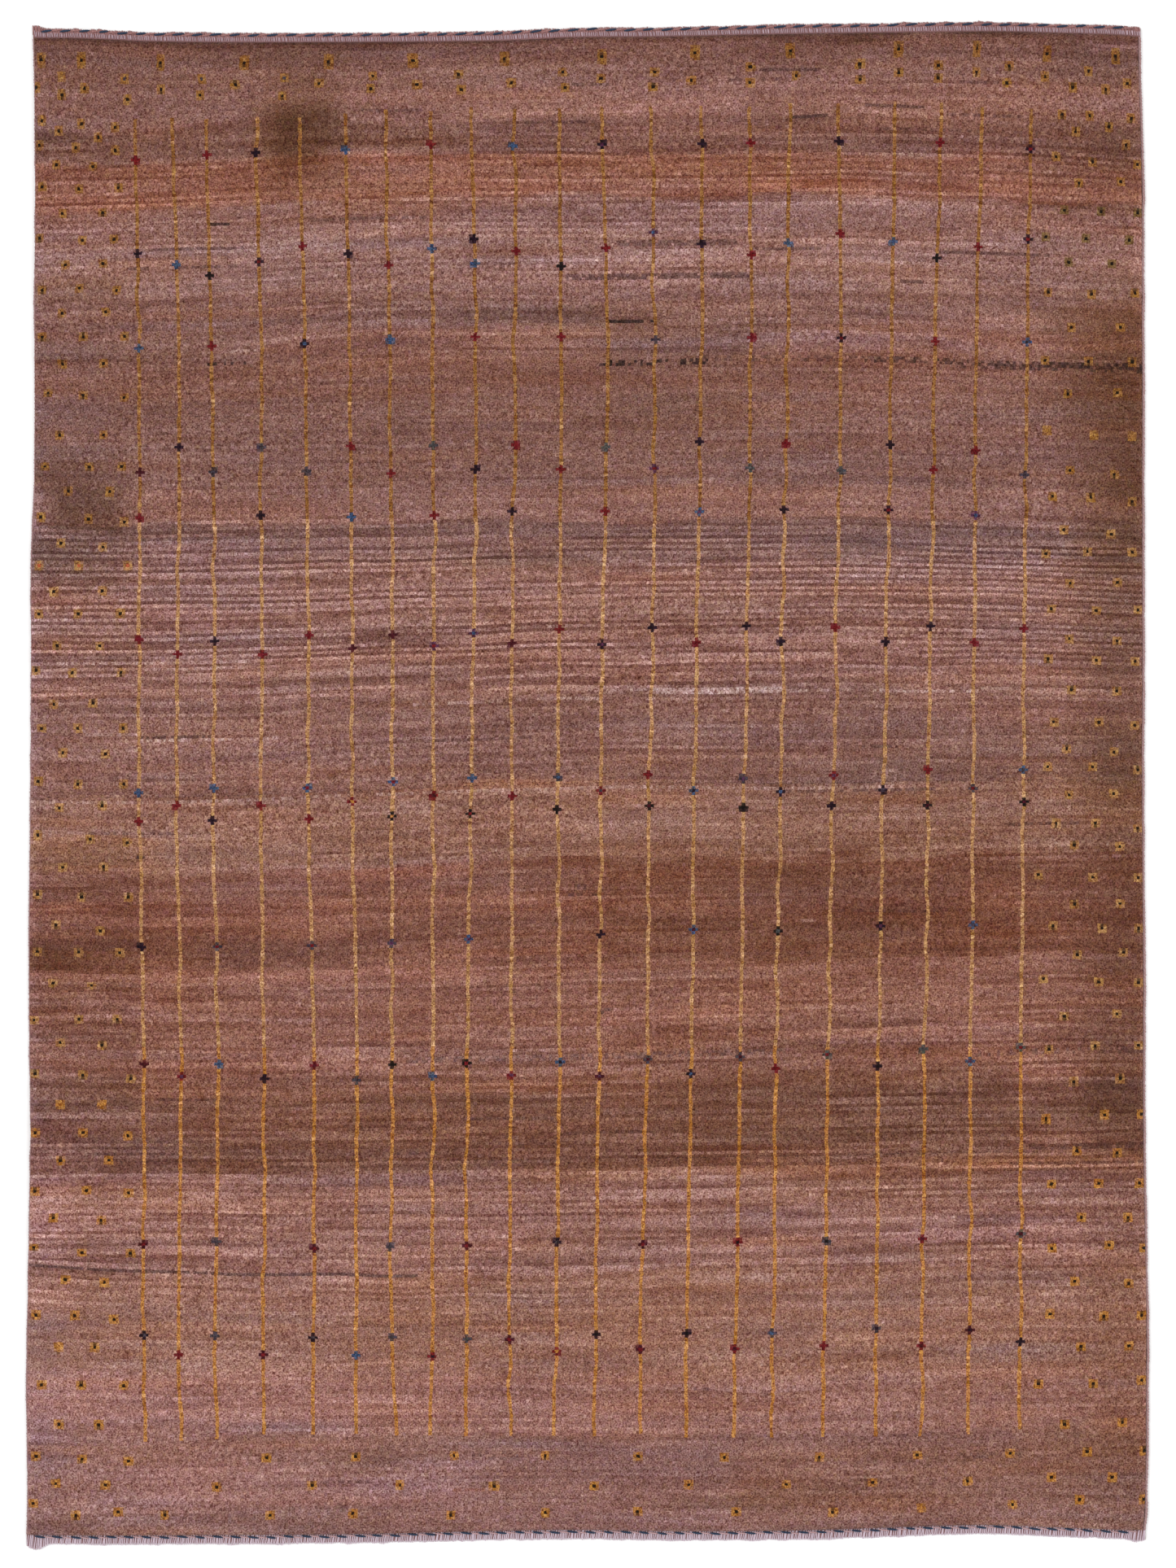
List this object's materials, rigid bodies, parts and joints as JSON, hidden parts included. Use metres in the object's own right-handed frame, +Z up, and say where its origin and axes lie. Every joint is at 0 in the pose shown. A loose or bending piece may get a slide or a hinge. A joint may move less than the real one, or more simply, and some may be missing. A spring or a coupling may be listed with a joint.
{
  "type": "gabbeh rug",
  "caption": "Rectangular hand-knotted gabbeh wool rug, lying flat, with clipped pile, overcast side cords and bound, twined ends.",
  "frame": {"origin": "centre of the underside, on the surface the rug lies on", "axes": "+Z up through the thickness, pile side up; +Y along the length towards the picture's top; +X across the width towards the picture's right"},
  "size_m": [1.5019, 2.0462, 0.0125],
  "materials": {
    "pile_wool": "matt clipped wool pile",
    "side_wool": "matt overcast wool",
    "end_wool": "matt overcast wool",
    "indigo_wool": "matt twined wool"
  },
  "bodies": {
    "root": {"rug_cloth": "pile_wool", "side_cord_left": "side_wool", "side_cord_right": "side_wool", "end_binding_bottom": "end_wool", "end_binding_top": "end_wool", "twined_cord_bottom": "indigo_wool", "twined_cord_top": "indigo_wool"}
  },
  "joints": []
}
